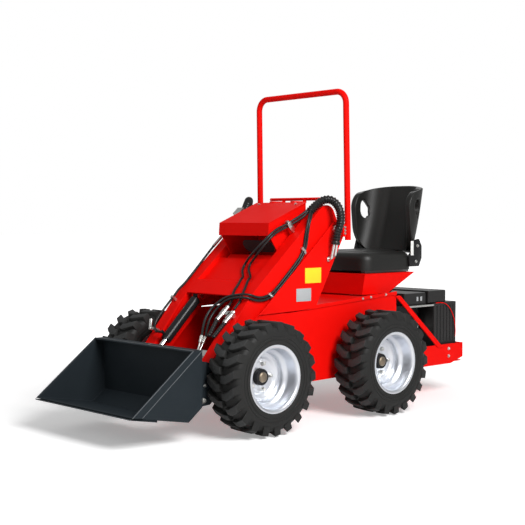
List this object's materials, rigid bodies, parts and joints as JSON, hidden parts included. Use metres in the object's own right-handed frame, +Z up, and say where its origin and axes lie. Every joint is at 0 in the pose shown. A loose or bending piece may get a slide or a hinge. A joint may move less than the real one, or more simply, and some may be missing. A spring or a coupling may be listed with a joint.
{
  "type": "mini loader",
  "caption": "Compact ride-on wheel loader with a folded bucket on a single radial boom, a red roll hoop, a wrap-round seat and a rear engine.",
  "frame": {"origin": "on the ground, under the middle of the overall length and width", "axes": "the machine faces -Y, +X is its left side, +Z is up"},
  "size_m": [1.152, 2.64, 1.8128],
  "materials": {
    "red_paint": "gloss",
    "bucket_paint": "satin",
    "black_paint": "satin",
    "tyre_rubber": "matt",
    "rim_zinc": "galvanised",
    "rod_chrome": "polished",
    "pin_steel": "zinc plated",
    "seat_vinyl": "matt grained",
    "engine_plastic": "matt",
    "rail_steel": "plain",
    "hose_rubber": "matt"
  },
  "bodies": {
    "machine": {"air_filter": "engine_plastic", "boom_pivot_pins": "pin_steel", "chassis_frame": "red_paint", "console_core": "red_paint", "console_hood": "red_paint", "cover_bar": "pin_steel", "deck": "red_paint", "engine_block": "engine_plastic", "engine_cover": "engine_plastic", "grab_bar": "red_paint", "hose_elbows": "pin_steel", "hose_sleeves": "hose_rubber", "lift_feet": "red_paint", "rear_tank": "engine_plastic", "roll_hoop": "red_paint", "seat_backrest": "seat_vinyl", "seat_base": "red_paint", "seat_cushion": "seat_vinyl", "seat_rails": "rail_steel", "tail_braces": "red_paint", "tail_tray": "red_paint", "tank_cap": "engine_plastic", "tower_left": "red_paint", "tower_right": "red_paint", "wheel_motors": "black_paint"},
    "boom": {"boom_arm_left": "red_paint", "boom_arm_right": "red_paint", "boom_cross_plate": "red_paint", "boom_cylinder_pins": "pin_steel", "boom_hose_cuffs": "hose_rubber", "boom_hose_right": "hose_rubber", "boom_hoses_side": "hose_rubber", "boom_hoses_top": "hose_rubber", "couplers": "pin_steel", "hose_clamps": "pin_steel"},
    "bucket": {"bucket_shell": "bucket_paint", "bucket_edge": "bucket_paint", "hitch_cheeks": "bucket_paint", "bucket_pins": "pin_steel"},
    "tilt_cylinder_barrel": {"tilt_barrel": "black_paint"},
    "tilt_cylinder_rod": {"tilt_rod": "rod_chrome"},
    "lift_cylinder_barrel_left": {"lift_barrel_left": "black_paint"},
    "lift_cylinder_rod_left": {"lift_rod_left": "rod_chrome"},
    "lift_cylinder_barrel_right": {"lift_barrel_right": "black_paint"},
    "lift_cylinder_rod_right": {"lift_rod_right": "rod_chrome"},
    "wheel_front_left": {"tyre_front_left": "tyre_rubber", "rim_front_left": "rim_zinc", "hub_front_left": "black_paint"},
    "wheel_front_right": {"tyre_front_right": "tyre_rubber", "rim_front_right": "rim_zinc", "hub_front_right": "black_paint"},
    "wheel_rear_left": {"tyre_rear_left": "tyre_rubber", "rim_rear_left": "rim_zinc", "hub_rear_left": "black_paint"},
    "wheel_rear_right": {"tyre_rear_right": "tyre_rubber", "rim_rear_right": "rim_zinc", "hub_rear_right": "black_paint"}
  },
  "joints": [
    {"name": "boom_lift", "type": "hinge", "parent": "machine", "child": "boom", "pos_m": [0, 0.14, 1.03], "axis": [-1, 0, 0], "range_deg": [-3.4, 62]},
    {"name": "bucket_tilt", "type": "hinge", "parent": "boom", "child": "bucket", "pos_m": [0, -0.838, 0.19], "axis": [1, 0, 0], "range_deg": [-2, 95]},
    {"name": "tilt_barrel_swing", "type": "hinge", "parent": "boom", "child": "tilt_cylinder_barrel", "pos_m": [-0.165, -0.433, 0.667], "axis": [1, 0, 0], "range_deg": [-6.11, 0.13]},
    {"name": "tilt_rod_slide", "type": "slide", "parent": "tilt_cylinder_barrel", "child": "tilt_cylinder_rod", "axis": [0, -0.7101, -0.7041], "range_m": [-0.00322, 0.15265]},
    {"name": "lift_barrel_swing_left", "type": "hinge", "parent": "machine", "child": "lift_cylinder_barrel_left", "pos_m": [0.26, -0.148, 0.3], "axis": [1, 0, 0], "range_deg": [-1.01, 18.38]},
    {"name": "lift_rod_slide_left", "type": "slide", "parent": "lift_cylinder_barrel_left", "child": "lift_cylinder_rod_left", "axis": [0, 0.2799, 0.96], "range_m": [-0.0115, 0.20964]},
    {"name": "lift_barrel_swing_right", "type": "hinge", "parent": "machine", "child": "lift_cylinder_barrel_right", "pos_m": [-0.26, -0.148, 0.3], "axis": [1, 0, 0], "range_deg": [-1.01, 18.38]},
    {"name": "lift_rod_slide_right", "type": "slide", "parent": "lift_cylinder_barrel_right", "child": "lift_cylinder_rod_right", "axis": [0, 0.2799, 0.96], "range_m": [-0.0115, 0.20964]},
    {"name": "wheel_spin_front_left", "type": "hinge", "parent": "machine", "child": "wheel_front_left", "pos_m": [0.471, -0.5455, 0.292], "axis": [1, 0, 0], "continuous": true},
    {"name": "wheel_spin_front_right", "type": "hinge", "parent": "machine", "child": "wheel_front_right", "pos_m": [-0.471, -0.5455, 0.292], "axis": [1, 0, 0], "continuous": true},
    {"name": "wheel_spin_rear_left", "type": "hinge", "parent": "machine", "child": "wheel_rear_left", "pos_m": [0.471, 0.3695, 0.292], "axis": [1, 0, 0], "continuous": true},
    {"name": "wheel_spin_rear_right", "type": "hinge", "parent": "machine", "child": "wheel_rear_right", "pos_m": [-0.471, 0.3695, 0.292], "axis": [1, 0, 0], "continuous": true}
  ],
  "couplings": [
    {"joint": "tilt_barrel_swing", "follows": "bucket_tilt", "ratio": -0.064272},
    {"joint": "tilt_rod_slide", "follows": "bucket_tilt", "m_per_rad": 0.092061},
    {"joint": "lift_barrel_swing_left", "follows": "boom_lift", "ratio": 0.29641},
    {"joint": "lift_rod_slide_left", "follows": "boom_lift", "m_per_rad": 0.19373},
    {"joint": "lift_barrel_swing_right", "follows": "boom_lift", "ratio": 0.29641},
    {"joint": "lift_rod_slide_right", "follows": "boom_lift", "m_per_rad": 0.19373}
  ]
}
